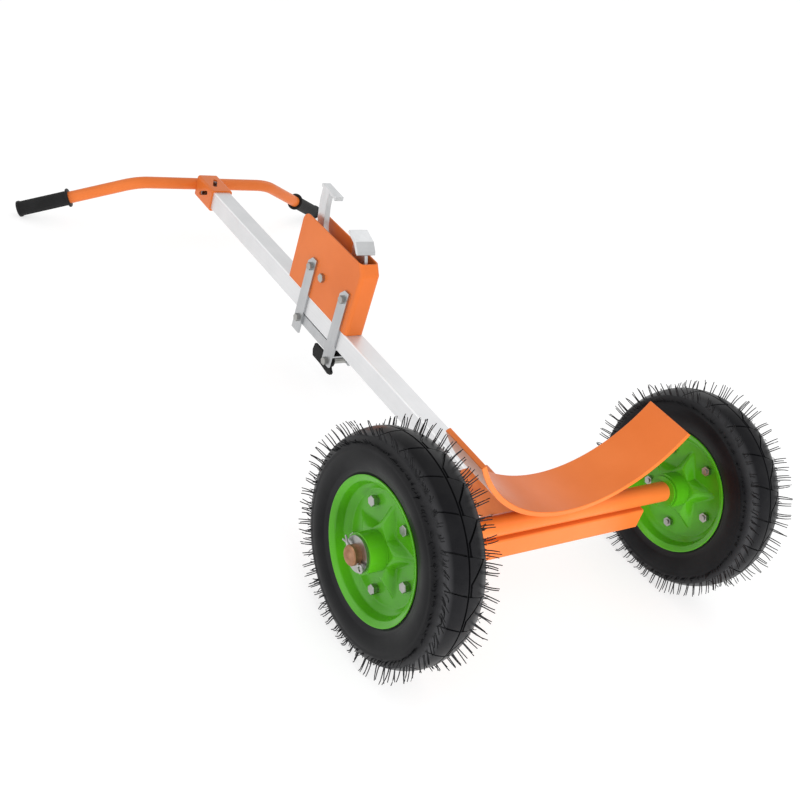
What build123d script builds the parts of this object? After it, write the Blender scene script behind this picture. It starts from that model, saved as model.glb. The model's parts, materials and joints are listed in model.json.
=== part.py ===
from build123d import *
from math import cos, radians, sin, sqrt
import os

# Drum trolley, in millimetres, resting on its two wheels and on the ends of its handlebar grips.
# Places on it are given as (p, y, n): p along the main tube from the axle towards the handlebar,
# y to the operator's left, and n square to the tube, towards the drum.
# On a wheel, a is the distance outwards from the wheel's middle plane.

# Wheels
half_track = 366
tyre_radius = 202.5
tyre_width = 103
tyre_bulge_share = 0.52
tread_width = 84
tread_drop = 12
tread_thickness = 14
shoulder_thickness = 10.5
sidewall_thickness = 8
tread_groove_width = 3
tread_groove_depth = 4
bead_width = 15
bead_fit = 0.3
inner_tube_share = 0.371
inner_tube_wall = 3

# Moulding hairs: two bands of them in grooves at the tread's edges
hair_groups = 27
hairs_in_group = 3
hair_spacing = 3
hair_length = 26
hair_radius = 1.1
hair_taper = 1.2
hair_lean = 25
hair_band_inset = 4
hair_band_stagger = 0.25
hair_band_width = 5
hair_band_depth = 2
hair_groove_depth = 3
hair_root = 1.2
hair_floor_gap = 0.5

# Rims, with the tyre's side of the sheet giving the radii
rim_half_width = 44.5
rim_flange_height = 7.6
rim_sheet = 4
rim_edge_round = 1.8
bead_seat_radius = 119
bead_seat_start = 26
rim_well_depth = 9
rim_well_half_width = 18
rim_lip_flare = 6
rim_web_bevel = 4
star_points = 5
star_tip_reach = 47
star_valley_reach = 5
star_top_tip_reach = 11
star_top_valley_reach = 2
star_height = 18

# Hubs and bearings
hub_wall = 4
hub_half_length = 66
hub_bore_radius = 22
hub_flange_thickness = 20
hub_flange_gap = 8
hub_fit = 0.05
bearing_radius = 31
bearing_width = 14
bearing_ring_thickness = 4
bearing_ball_radius = 4
bearing_ball_count = 11
bearing_race_gap = 0.3
bearing_side_play = 0.5

# Valves
valve_angle = 132
valve_offset = 20
valve_radius = 4
valve_fit = 0.3
valve_standout = 5
valve_cap_radius = 5.5
valve_cap_length = 7
valve_cap_round = 1.8

# Axle
axle_radius = 17.5
axle_overhang = 14.5
axle_chamfer = 2
axle_fit = 0.05
axle_tube_wall = 2.5
washer_radius = 31
washer_thickness = 4
split_pin_angle = 15.7
split_pin_radius = 3
split_pin_fit = 0.2
split_pin_offset = 6
split_pin_eye_radius = 6
split_pin_leg = 14
split_pin_leg_radius = 1.8
split_pin_wire_radius = 2.4
split_pin_spread = 28

# Frame under the drum
weld_sink = 2
beam_size = 45
beam_wall = 4
beam_round = 4
beam_half_length = 231
cradle_radius = 288.3
cradle_thickness = 10
cradle_half_angle = 59.2
cradle_front = -24.4
cradle_width = 109
cradle_edge_round = 1.5
gusset_thickness = 6
gusset_reach = 94
gusset_heel = 40
gusset_margin = 12

# Main tube, its lower socket and its top sleeve
tube_size = 50
tube_wall = 3
tube_round = 4
tube_top = -64.4
tube_inset = 5
sleeve_wall = 5
sleeve_fit = 0.1
socket_start = 50
socket_length = 220
socket_mitre = 50
socket_bolt_reaches = (20, 50)
sleeve_length = 97
sleeve_end_plate = 5
sleeve_slot_length = 50
sleeve_slot_width = 11
sleeve_slot_tilt = 26

# Handlebar and grips
bar_radius = 16
bar_wall = 3
bar_place = 1569
bar_drop = 2.6
bar_half_straight = 197
bar_bend_radius = 110
bar_bend = 35
bar_droop = 50
grip_start = 187
grip_length = 142
grip_wall = 3.5
grip_flange_reach = 5.5
grip_flange_width = 6
grip_end_reach = 2
grip_end_width = 8
grip_end_wall = 6
grip_edge_round = 2

# Clamp carriage on the main tube
slide_gap = 0.5
housing_front = 720.5
housing_length = 282.5
housing_top = 112
housing_sheet = 4
housing_bend = 10
housing_back_round = 24
housing_lean = 16
housing_lean_depth = 21
housing_lean_round = 14
housing_edge_round = 1.2
strap_thickness = 5
strap_width = 34
strap_top_margin = 23
strap_foot_margin = 9
strap_chamfer = 16
front_strap_reach = 39.5
rear_strap_reach = 194.5
strap_bolt_height = 10
shoe_sheet = 4
shoe_depth = 25
shoe_margin = 15
rear_foot_drop = 15.1
spacer_radius = 9

# Jaws
upper_jaw_thickness = 14
lower_jaw_thickness = 8
jaw_pivot_setback = 51
jaw_pivot_height = 7
jaw_boss_radius = 20
jaw_bush_radius = 11
jaw_side_gap = 0.5
upper_head_width = 22
lower_head_width = 48
jaw_corner_round = 3
jaw_head_round = 1.2

# Jaw outlines: the lower jaw's foot is placed from its bolt, its neck and head from the housing's
# top above that bolt, and the upper jaw's arm and head from their pivot. Each corner of the upper
# jaw's arm has its own rounding as a third number
lower_foot_drop = 38
lower_foot_rise = 34
lower_back_reach = 22
lower_neck = ((-2, 6), (5, 15), (20, 31), (54, 43), (53, 6))
lower_head = ((-1, 9), (3, 18), (19, 35), (55, 47), (57, 40), (23, 27), (8, 12))
upper_arm = (
    (-14, 13, 3), (73, 85, 60), (88, 142, 40), (88, 173, 2),
    (118, 178, 2), (118, 144, 60), (107, 92, 60), (16, -11, 3),
)
upper_head = ((52, 181), (52, 171), (57, 171), (61, 175), (119, 177), (120, 185))

# Lock lever, its outline placed from its pivot
lever_pivot_drop = 16.1
lever_width = 6
lever_offset = 17
lever_side_gap = 0.3
lever_cam_gap = 0.4
lever_corner_round = 2
lever_block = (
    (8, 7), (36, 4), (73, 3), (76, -16), (70, -30),
    (31, -30), (-5, -34), (-17, -30), (-19, -23), (-13, -18),
)

# Fasteners
bolt_radius = 5
bolt_across = 17
bolt_head = 8
bolt_chamfer = 1
nut_height = 8
nut_fit = 0.05
bolt_tail = 3
bolt_fit = 0.1
rim_bolt_circle = 80
rim_bolt_count = 5
rim_bolt_angle = 45.2
rim_bolt_collar = 4
collar_radius = 8.5
pivot_radius = 6
pivot_across = 19
pivot_fit = 0.05

# Heights and places that follow from the sizes above
tube_middle = tube_top - tube_size / 2
tube_bottom = tube_top - tube_size
tube_start = socket_start + tube_inset
socket_end = socket_start + socket_length
axle_tube_radius = axle_radius + axle_tube_wall
beam_top = weld_sink - axle_tube_radius
beam_back = beam_size / 2
cradle_outer_radius = cradle_radius + cradle_thickness
cradle_centre = axle_tube_radius - weld_sink + cradle_outer_radius
sleeve_size = tube_size + 2 * (sleeve_fit + sleeve_wall)
sleeve_end = bar_place - bar_radius + weld_sink
sleeve_start = sleeve_end - sleeve_length
sleeve_slot_place = sleeve_start + sleeve_length / 2
bar_height = tube_middle - bar_drop
grip_end = grip_start + grip_length
grip_radius = bar_radius + grip_wall
grip_flange_radius = grip_radius + grip_flange_reach
grip_end_radius = grip_radius + grip_end_reach
rim_flange_radius = bead_seat_radius + rim_flange_height
rim_well_radius = bead_seat_radius - rim_well_depth
hub_radius = bearing_radius + hub_wall
star_tip_radius = hub_radius + star_tip_reach
star_valley_radius = hub_radius + star_valley_reach
star_top_tip_radius = hub_radius + star_top_tip_reach
star_top_valley_radius = hub_radius + star_top_valley_reach
valve_inner_reach = rim_well_radius - rim_sheet - valve_standout
web_back = hub_flange_thickness / 2
web_face = web_back + rim_sheet
tread_edge_radius = tyre_radius - tread_drop
hair_band_place = tread_width / 2 - hair_band_inset
hair_band_top = tread_edge_radius + hair_band_depth - hair_groove_depth / 2
hair_tip_radius = hair_band_top - hair_root + hair_length * cos(radians(hair_lean))
washer_start = hub_half_length + bearing_side_play
washer_end = washer_start + washer_thickness
axle_half_length = half_track + washer_end + axle_overhang
bearing_start = hub_half_length - bearing_width
bearing_middle = bearing_start + bearing_width / 2
bearing_inner_radius = axle_radius + bearing_ring_thickness
bearing_pitch_radius = (axle_radius + bearing_radius) / 2
inner_tube_radius = inner_tube_share * (tyre_radius - bead_seat_radius)
inner_tube_centre = tyre_radius - tread_thickness - inner_tube_radius - sidewall_thickness / 2
housing_back = housing_front + housing_length
front_strap_place = housing_front + front_strap_reach
rear_strap_place = housing_front + rear_strap_reach
jaw_pivot = (rear_strap_place - jaw_pivot_setback, jaw_pivot_height)
housing_half_width = tube_size / 2 + slide_gap
housing_inside = housing_half_width - housing_sheet
housing_bottom = tube_top + slide_gap
strap_face = housing_half_width + strap_thickness
shoe_top = tube_bottom - slide_gap
shoe_bottom = shoe_top - shoe_depth
rear_foot_height = shoe_top - rear_foot_drop
lever_pivot_height = shoe_bottom - lever_pivot_drop
strap_top = strap_bolt_height + strap_top_margin
strap_bottom = lever_pivot_height - strap_foot_margin


# The trolley's pitch: the rounded edge of each grip's end just touches the floor
bar_side = cos(radians(bar_bend))
bar_back_share = sin(radians(bar_bend)) * cos(radians(bar_droop))
bar_down_share = sin(radians(bar_bend)) * sin(radians(bar_droop))
edge_reach = grip_end - grip_edge_round
edge_place = bar_place + bar_back_share * edge_reach
edge_height = bar_height - bar_down_share * edge_reach
edge_radius = grip_end_radius - grip_edge_round


def grip_edge_above_floor(pitch):
    """Height of the lowest point of a grip's end with the tube pitched up by this many degrees."""
    turn = radians(pitch)
    slope = bar_back_share * sin(turn) - bar_down_share * cos(turn)
    middle = tyre_radius + edge_height * cos(turn) + edge_place * sin(turn)
    return middle - edge_radius * sqrt(1 - slope**2) - grip_edge_round


def resting_pitch():
    """Pitch of the main tube, in degrees, found by halving the range it lies in."""
    low, high = -20, 30
    while high - low > 1e-9:
        middle = (low + high) / 2
        if grip_edge_above_floor(middle) < 0:
            low = middle
        else:
            high = middle
    return (low + high) / 2


pitch = radians(resting_pitch())
along = Vector(-cos(pitch), 0, sin(pitch))
left = Vector(0, 1, 0)
square = Vector(sin(pitch), 0, cos(pitch))

# The origin is on the floor, in the middle of the trolley's length and width
end_slope = bar_back_share * cos(pitch) + bar_down_share * sin(pitch)
back_reach = edge_place * cos(pitch) - edge_height * sin(pitch)
back_reach += edge_radius * sqrt(1 - end_slope**2) + grip_edge_round
axle_middle = Vector((back_reach - hair_tip_radius) / 2, 0, tyre_radius)


def at(p=0, y=0, n=0):
    """A place on the trolley."""
    return axle_middle + along * p + left * y + square * n


def side(y=0):
    """Plane beside the trolley: x along the tube, y towards the drum, facing left."""
    return Plane(origin=at(y=y), x_dir=along, z_dir=left)


def across(p=0):
    """Plane across the tube: x to the right, y towards the drum, facing the handlebar."""
    return Plane(origin=at(p), x_dir=left * -1, z_dir=along)


def over(n=0):
    """Plane square above the tube: x along the tube, y to the right, facing the drum."""
    return Plane(origin=at(n=n), x_dir=along, z_dir=square)


axle_axis = Axis(origin=at(), direction=left)
sides = {"right": -1, "left": 1}
os.makedirs("parts", exist_ok=True)


def write(piece, name):
    """Name a finished piece and write its file."""
    piece.label = name
    export_step(piece, f"parts/{name}.step")


def keep(builder, name):
    """Write a finished piece."""
    write(builder.part, name)


def keep_pair(builder, name):
    """Write a finished piece of the right wheel, and its mirror image for the left one."""
    write(builder.part, f"right_{name}")
    write(mirror(builder.part, about=Plane.XZ), f"left_{name}")


def moved(outline, p, n):
    """The corners of an outline, moved to a place."""
    return [(p + corner[0], n + corner[1]) for corner in outline]


def make_bolts(name, spots, head_face, tip, out, radius=bolt_radius, width=bolt_across, collar=0):
    """Bolts across the trolley: hexagon heads on the head face or on collars, pointing away from out."""
    with BuildPart() as bolts:
        with BuildSketch(side(head_face + out * collar)):
            with Locations(*spots):
                RegularPolygon(radius=width / 2, side_count=6, major_radius=False)
        extrude(amount=out * bolt_head)
        outer = bolts.faces().filter_by(Axis(at(), left)).sort_by(Axis(at(), left * out))
        chamfer(outer[-len(spots):].edges(), length=bolt_chamfer)
        if collar:
            with BuildSketch(side(head_face)):
                with Locations(*spots):
                    Circle(collar_radius)
            extrude(amount=out * collar)
        with BuildSketch(side(head_face)):
            with Locations(*spots):
                Circle(radius)
        extrude(amount=tip - head_face)
    keep(bolts, name)


def make_nuts(name, spots, face, out, radius=bolt_radius, width=bolt_across):
    """Hexagon nuts standing on a face, one at each spot."""
    with BuildPart() as nuts:
        with BuildSketch(side(face)):
            with Locations(*spots):
                RegularPolygon(radius=width / 2, side_count=6, major_radius=False)
                Circle(radius + nut_fit, mode=Mode.SUBTRACT)
        extrude(amount=out * nut_height)
    keep(nuts, name)


# Oblong slots through the top sleeve and the tube in it, in their right sides and their tops
with BuildPart() as sleeve_slots:
    with BuildSketch(side(-sleeve_size)):
        with Locations((sleeve_slot_place, tube_middle)):
            SlotOverall(sleeve_slot_length, sleeve_slot_width, rotation=-sleeve_slot_tilt)
    extrude(amount=sleeve_size)
    with BuildSketch(over(tube_middle)):
        with Locations((sleeve_slot_place, 0)):
            SlotOverall(sleeve_slot_length, sleeve_slot_width, rotation=-sleeve_slot_tilt)
    extrude(amount=sleeve_size)

# Main tube
socket_spots = [(socket_start + reach, tube_middle) for reach in socket_bolt_reaches]
with BuildPart() as main_tube:
    with BuildSketch(across(tube_start)):
        with Locations((0, tube_middle)):
            RectangleRounded(tube_size, tube_size, tube_round)
            inside = tube_size - 2 * tube_wall
            RectangleRounded(inside, inside, tube_round - tube_wall / 2, mode=Mode.SUBTRACT)
    extrude(amount=sleeve_end - sleeve_end_plate - tube_start)
    with BuildSketch(side(-tube_size)):
        with Locations(*socket_spots):
            Circle(bolt_radius + bolt_fit)
    extrude(amount=2 * tube_size, mode=Mode.SUBTRACT)
    add(sleeve_slots.part, mode=Mode.SUBTRACT)
keep(main_tube, "main_tube")

# Socket that holds the lower end of the main tube, its back end cut off at a slant
gusset_face = sleeve_size / 2 + gusset_thickness
socket_top = tube_middle + sleeve_size / 2
socket_bottom = tube_middle - sleeve_size / 2
socket_cut = [
    (socket_end - 2 * socket_mitre, socket_top + sleeve_size),
    (socket_end + socket_mitre, socket_bottom - sleeve_size),
    (socket_end + socket_mitre, socket_top + sleeve_size),
]
with BuildPart() as tube_socket:
    with BuildSketch(across(socket_start)):
        with Locations((0, tube_middle)):
            RectangleRounded(sleeve_size, sleeve_size, tube_round + sleeve_wall / 2)
            hole = tube_size + 2 * sleeve_fit
            RectangleRounded(hole, hole, tube_round, mode=Mode.SUBTRACT)
    extrude(amount=socket_end - socket_start)
    with BuildSketch(side(-sleeve_size)):
        with Locations(*socket_spots):
            Circle(bolt_radius + bolt_fit)
        Polygon(*socket_cut, align=None)
    extrude(amount=2 * sleeve_size, mode=Mode.SUBTRACT)
keep(tube_socket, "tube_socket")

socket_bolt_tip = gusset_face + nut_height + bolt_tail
make_bolts("socket_bolts", socket_spots, -gusset_face, socket_bolt_tip, -1)
make_nuts("socket_nuts", socket_spots, gusset_face, 1)

# Gussets from the beam to the socket and up to the cradle
gusset_top = axle_tube_radius + gusset_margin
gusset_foot = socket_bottom + gusset_margin
gusset_outline = [
    (beam_back, beam_top - beam_size + beam_round),
    (beam_back, beam_top - beam_round),
    (beam_back + gusset_margin, gusset_top),
    (gusset_reach - gusset_top, gusset_top),
    (gusset_reach - gusset_foot, gusset_foot),
    (beam_back + gusset_heel, gusset_foot),
]
with BuildPart() as frame_gussets:
    for out in sides.values():
        with BuildSketch(side(out * sleeve_size / 2)):
            Polygon(*gusset_outline, align=None)
        extrude(amount=out * gusset_thickness)
    with BuildSketch(across(cradle_front)):
        with Locations((0, cradle_centre)):
            Circle(cradle_outer_radius)
    extrude(amount=2 * cradle_width, mode=Mode.SUBTRACT)
    with BuildSketch(side(-gusset_face)):
        with Locations(*socket_spots):
            Circle(bolt_radius + bolt_fit)
    extrude(amount=2 * gusset_face, mode=Mode.SUBTRACT)
keep(frame_gussets, "frame_gussets")

# Axle tube, the beam welded under it and the cradle welded on it
axle_tube_end = half_track - washer_end
with BuildPart() as axle_tube:
    with BuildSketch(side(-axle_tube_end)):
        Circle(axle_tube_radius)
        Circle(axle_radius + axle_fit, mode=Mode.SUBTRACT)
    extrude(amount=2 * axle_tube_end)
keep(axle_tube, "axle_tube")

with BuildPart() as cross_beam:
    with BuildSketch(side(-beam_half_length)):
        with Locations((0, beam_top - beam_size / 2)):
            RectangleRounded(beam_size, beam_size, beam_round)
            inside = beam_size - 2 * beam_wall
            RectangleRounded(inside, inside, beam_round / 2, mode=Mode.SUBTRACT)
        Circle(axle_tube_radius, mode=Mode.SUBTRACT)
    extrude(amount=2 * beam_half_length)
keep(cross_beam, "cross_beam")

with BuildPart() as cradle:
    with BuildSketch(across(cradle_front)):
        with BuildLine():
            start = 270 - cradle_half_angle
            inner = CenterArc((0, cradle_centre), cradle_radius, start, 2 * cradle_half_angle)
            outer = CenterArc((0, cradle_centre), cradle_outer_radius, start, 2 * cradle_half_angle)
            Line(inner @ 0, outer @ 0)
            Line(inner @ 1, outer @ 1)
        make_face()
    extrude(amount=cradle_width)
    end_faces = cradle.faces().filter_by(GeomType.PLANE)
    fillet(end_faces.edges(), radius=cradle_edge_round)
    with BuildSketch(side(-cradle_radius)):
        Circle(axle_tube_radius)
    extrude(amount=2 * cradle_radius, mode=Mode.SUBTRACT)
keep(cradle, "cradle")

# Axle with its washers and split pins
pin_place = half_track + washer_end + split_pin_offset
pin_along = along * cos(radians(split_pin_angle)) + square * sin(radians(split_pin_angle))
pin_hole_reach = 2 * axle_radius
with BuildPart() as axle:
    with BuildSketch(side(-axle_half_length)):
        Circle(axle_radius)
    extrude(amount=2 * axle_half_length)
    ends = axle.faces().filter_by(GeomType.PLANE)
    chamfer(ends.edges(), length=axle_chamfer)
    for out in sides.values():
        hole_start = at(y=out * pin_place) - pin_along * pin_hole_reach
        with BuildSketch(Plane(origin=hole_start, z_dir=pin_along)):
            Circle(split_pin_radius + split_pin_fit)
        extrude(amount=2 * pin_hole_reach, mode=Mode.SUBTRACT)
keep(axle, "axle")


def make_washers(name, reach):
    """A washer on the axle at each wheel, this far from the middle of the trolley."""
    with BuildPart() as washers:
        for out in sides.values():
            with BuildSketch(side(out * reach)):
                Circle(washer_radius)
                Circle(axle_radius + axle_fit, mode=Mode.SUBTRACT)
            extrude(amount=out * washer_thickness)
    keep(washers, name)


make_washers("axle_washers", half_track + washer_start)
make_washers("dust_washers", half_track - washer_end)

pin_shank = axle_radius + 2 * split_pin_radius
pin_across = left.cross(pin_along)
with BuildPart() as split_pins:
    for out in sides.values():
        middle = at(y=out * pin_place)
        with BuildSketch(Plane(origin=middle - pin_along * pin_shank, z_dir=pin_along)):
            Circle(split_pin_radius)
        extrude(amount=2 * pin_shank)
        for spread in (-split_pin_spread, split_pin_spread):
            lean = pin_across * sin(radians(spread)) + pin_along * cos(radians(spread))
            with BuildSketch(Plane(origin=middle + pin_along * pin_shank - lean, z_dir=lean)):
                Circle(split_pin_leg_radius)
            extrude(amount=split_pin_leg)
        eye = middle - pin_along * (pin_shank + split_pin_eye_radius - split_pin_wire_radius)
        with BuildSketch(Plane(origin=eye, x_dir=pin_along, z_dir=pin_along.cross(left))):
            with Locations((split_pin_eye_radius, 0)):
                Circle(split_pin_wire_radius)
        revolve(axis=Axis(eye, left))
keep(split_pins, "split_pins")

with BuildPart() as bearing_inner_rings:
    for out in sides.values():
        for face in (1, -1):
            middle = out * half_track + face * bearing_middle
            ring_start = middle - face * bearing_width / 2
            with BuildSketch(side(ring_start)):
                Circle(bearing_inner_radius)
                Circle(axle_radius + axle_fit, mode=Mode.SUBTRACT)
            extrude(amount=face * (bearing_width + bearing_side_play))
            with BuildSketch(Plane(origin=at(y=middle), x_dir=left, z_dir=along)):
                with Locations((0, bearing_pitch_radius)):
                    Circle(bearing_ball_radius + bearing_race_gap)
            revolve(axis=axle_axis, mode=Mode.SUBTRACT)
keep(bearing_inner_rings, "bearing_inner_rings")


# Wheels: the right one is built, and the left one is its mirror image
right_middle = -half_track


def wheel_section(facing=1):
    """Plane through the right wheel's axis: x along the axle, away from its middle, y square to it."""
    return Plane(origin=at(y=right_middle), x_dir=left * -facing, z_dir=along * facing)


def polar_spots(radius, count, start):
    """Places round an axle, in a plane beside the trolley."""
    turns = [radians(start + 360 * index / count) for index in range(count)]
    return [(radius * cos(turn), radius * sin(turn)) for turn in turns]


def star_outline(tip_radius, valley_radius):
    """Corners of a star whose valleys face the rim's bolts."""
    tips = polar_spots(tip_radius, star_points, rim_bolt_angle + 180 / star_points)
    valleys = polar_spots(valley_radius, star_points, rim_bolt_angle)
    return [corner for pair in zip(valleys, tips) for corner in pair]


def valve_plane(reach):
    """Plane across the right wheel's valve, this far from the axle, facing away from it."""
    turn = radians(valve_angle)
    away = along * cos(turn) + square * sin(turn)
    return Plane(origin=at(y=right_middle - valve_offset) + away * reach, z_dir=away)


# Tyre with its cavity, its middle groove and the grooves that hold the hairs
bead_outer = rim_half_width - rim_sheet - bead_fit
bead_inner = bead_outer - bead_width
bead_radius = bead_seat_radius + bead_fit
wall_start = rim_flange_radius + bead_fit
bulge_radius = wall_start + tyre_bulge_share * (tread_edge_radius - wall_start)
half_tread = tread_width / 2
half_cavity = half_tread - sidewall_thickness
cavity_edge = tread_edge_radius - shoulder_thickness
with BuildPart() as tyre:
    with BuildSketch(wheel_section()):
        with BuildLine():
            Line((-bead_outer, bead_radius), (bead_outer, bead_radius))
            for way in (1, -1):
                foot = (way * bead_outer, wall_start)
                bulge = (way * tyre_width / 2, bulge_radius)
                Line((way * bead_outer, bead_radius), foot)
                ThreePointArc(foot, bulge, (way * half_tread, tread_edge_radius))
            edge = (half_tread, tread_edge_radius)
            ThreePointArc(edge, (0, tyre_radius), (-half_tread, tread_edge_radius))
        make_face()
        with BuildLine():
            Line((-bead_inner, bead_radius), (bead_inner, bead_radius))
            for way in (1, -1):
                foot = (way * bead_inner, wall_start)
                bulge = (way * (tyre_width / 2 - sidewall_thickness), bulge_radius)
                Line((way * bead_inner, bead_radius), foot)
                ThreePointArc(foot, bulge, (way * half_cavity, cavity_edge))
            crown = (0, tyre_radius - tread_thickness)
            ThreePointArc((half_cavity, cavity_edge), crown, (-half_cavity, cavity_edge))
        make_face(mode=Mode.SUBTRACT)
        with Locations((0, tyre_radius)):
            Rectangle(tread_groove_width, 2 * tread_groove_depth, mode=Mode.SUBTRACT)
        for way in (1, -1):
            with Locations((way * hair_band_place, hair_band_top - hair_band_depth)):
                bottom = (Align.CENTER, Align.MIN)
                Rectangle(hair_band_width, tread_drop, align=bottom, mode=Mode.SUBTRACT)
    revolve(axis=axle_axis)
keep_pair(tyre, "tyre")


# Two bands of moulding hairs, trimmed where they would reach the floor
def hair_turn(facing, group, strand):
    """Angle of a hair round the axle, with the two bands staggered."""
    fan = (strand - (hairs_in_group - 1) / 2) * hair_spacing
    return radians((group + facing * hair_band_stagger) * 360 / hair_groups + fan)


def hair_plane(facing, turn):
    """Plane at the root of a hair, facing the way it points."""
    away = along * cos(turn) + square * sin(turn)
    lean = away * cos(radians(hair_lean)) + left * facing * sin(radians(hair_lean))
    root = at(y=right_middle + facing * hair_band_place) + away * (hair_band_top - hair_root)
    return Plane(origin=root, x_dir=left.cross(away), z_dir=lean)


hair_planes = [
    hair_plane(facing, hair_turn(facing, group, strand))
    for facing in (1, -1)
    for group in range(hair_groups)
    for strand in range(hairs_in_group)
]
with BuildPart() as tyre_hairs:
    with BuildSketch(wheel_section()):
        for way in (1, -1):
            with Locations((way * hair_band_place, hair_band_top)):
                Rectangle(hair_band_width, hair_band_depth, align=(Align.CENTER, Align.MAX))
    revolve(axis=axle_axis)
    with BuildSketch(*hair_planes):
        RegularPolygon(radius=hair_radius, side_count=3)
    extrude(amount=hair_length, taper=hair_taper)
    split(bisect_by=Plane.XY.offset(hair_floor_gap), keep=Keep.TOP)
keep_pair(tyre_hairs, "tyre_hairs")

# Inner tube, and the valve that goes from it through the rim's wall
with BuildPart() as inner_tube:
    with BuildSketch(wheel_section()):
        with Locations((0, inner_tube_centre)):
            Circle(inner_tube_radius)
            Circle(inner_tube_radius - inner_tube_wall, mode=Mode.SUBTRACT)
    revolve(axis=axle_axis)
keep_pair(inner_tube, "inner_tube")

with BuildPart() as valve_stem:
    with BuildSketch(valve_plane(valve_inner_reach)):
        Circle(valve_radius)
    extrude(amount=inner_tube_centre - valve_inner_reach)
    with BuildSketch(wheel_section()):
        with Locations((0, inner_tube_centre)):
            Circle(inner_tube_radius)
    revolve(axis=axle_axis, mode=Mode.SUBTRACT)
keep_pair(valve_stem, "valve_stem")

with BuildPart() as valve_cap:
    with BuildSketch(valve_plane(valve_inner_reach)):
        Circle(valve_cap_radius)
    extrude(amount=-valve_cap_length)
    inner_end = valve_cap.faces().sort_by(Axis(at(), valve_plane(0).z_dir))[0]
    fillet(inner_end.edges(), radius=valve_cap_round)
keep_pair(valve_cap, "valve_cap")

# Rims
rim_spots = polar_spots(rim_bolt_circle, rim_bolt_count, rim_bolt_angle)
inner_seat = bead_seat_radius - rim_sheet
inner_well = rim_well_radius - rim_sheet
slope_shift = rim_sheet / 2
rim_outline = [
    (web_back, hub_radius + hub_fit),
    (web_back, rim_well_radius),
    (rim_well_half_width, rim_well_radius),
    (bead_seat_start, bead_seat_radius),
    (rim_half_width - rim_sheet, bead_seat_radius),
    (rim_half_width - rim_sheet, rim_flange_radius),
    (rim_half_width, rim_flange_radius),
    (rim_half_width, inner_seat + rim_lip_flare),
    (rim_half_width - rim_lip_flare, inner_seat),
    (bead_seat_start + slope_shift, inner_seat),
    (rim_well_half_width + slope_shift, inner_well),
    (web_face, inner_well - rim_web_bevel),
    (web_face, hub_radius + hub_fit),
]


def make_rim_half(name, facing):
    """Pressed rim half: flange, bead seat, well and web with its star; the outer one has the valve hole."""
    face = right_middle - facing * web_face
    with BuildPart() as rim:
        with BuildSketch(wheel_section(facing)) as profile:
            Polygon(*rim_outline, align=None)
            fillet(profile.vertices().group_by(Axis.Y)[-1], radius=rim_edge_round)
        revolve(axis=axle_axis)
        with BuildSketch(side(face)):
            Polygon(*star_outline(star_tip_radius, star_valley_radius), align=None)
        with BuildSketch(side(face - facing * star_height)):
            Polygon(*star_outline(star_top_tip_radius, star_top_valley_radius), align=None)
        loft(ruled=True)
        with BuildSketch(side(face)):
            Circle(hub_radius + hub_fit)
        extrude(amount=-facing * star_height, mode=Mode.SUBTRACT)
        with BuildSketch(side(face)):
            with Locations(*rim_spots):
                Circle(bolt_radius + bolt_fit)
        extrude(amount=facing * 2 * rim_sheet, mode=Mode.SUBTRACT)
        if facing == 1:
            with BuildSketch(valve_plane(valve_inner_reach)):
                Circle(valve_radius + valve_fit)
            extrude(amount=rim_flange_radius - valve_inner_reach, mode=Mode.SUBTRACT)
    keep_pair(rim, name)


make_rim_half("rim_outer_half", 1)
make_rim_half("rim_inner_half", -1)
for side_name, out in sides.items():
    head_face = out * (half_track + web_face)
    nut_face = out * (half_track - web_face)
    bolt_tip = nut_face - out * (nut_height + bolt_tail)
    make_bolts(f"{side_name}_rim_bolts", rim_spots, head_face, bolt_tip, out, collar=rim_bolt_collar)
    make_nuts(f"{side_name}_rim_nuts", rim_spots, nut_face, -out)

# Hub tube with bearing seats at its ends and two flange discs that the rim halves clamp
with BuildPart() as hub:
    with BuildSketch(wheel_section()):
        Rectangle(2 * hub_half_length, 2 * hub_radius)
        Rectangle(hub_flange_thickness, 2 * rim_well_radius)
        with Locations((0, (hub_radius + rim_well_radius) / 2)):
            Rectangle(hub_flange_gap, rim_well_radius - hub_radius, mode=Mode.SUBTRACT)
        Rectangle(2 * hub_half_length, 2 * hub_bore_radius, mode=Mode.SUBTRACT)
        with Locations((bearing_middle, 0), (-bearing_middle, 0)):
            Rectangle(bearing_width, 2 * bearing_radius, mode=Mode.SUBTRACT)
        lower_half = (Align.CENTER, Align.MAX)
        Rectangle(2 * tyre_width, 2 * tyre_radius, align=lower_half, mode=Mode.SUBTRACT)
    revolve(axis=axle_axis)
    with BuildSketch(side(right_middle - web_back)):
        with Locations(*rim_spots):
            Circle(bolt_radius + bolt_fit)
    extrude(amount=hub_flange_thickness, mode=Mode.SUBTRACT)
keep_pair(hub, "hub")

# Outer rings and balls of the wheel's two bearings
outer_ring_bore = bearing_radius - bearing_ring_thickness
bearing_middles = [right_middle - bearing_middle, right_middle + bearing_middle]
with BuildPart() as bearing_outer_rings:
    for middle in bearing_middles:
        with BuildSketch(side(middle - bearing_width / 2)):
            Circle(bearing_radius)
            Circle(outer_ring_bore, mode=Mode.SUBTRACT)
        extrude(amount=bearing_width)
        with BuildSketch(Plane(origin=at(y=middle), x_dir=left, z_dir=along)):
            with Locations((0, bearing_pitch_radius)):
                Circle(bearing_ball_radius + bearing_race_gap)
        revolve(axis=axle_axis, mode=Mode.SUBTRACT)
keep_pair(bearing_outer_rings, "bearing_outer_rings")

with BuildPart() as bearing_balls:
    for middle in bearing_middles:
        with Locations(side(middle)):
            with PolarLocations(bearing_pitch_radius, bearing_ball_count):
                Sphere(bearing_ball_radius)
keep_pair(bearing_balls, "bearing_balls")

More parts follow.
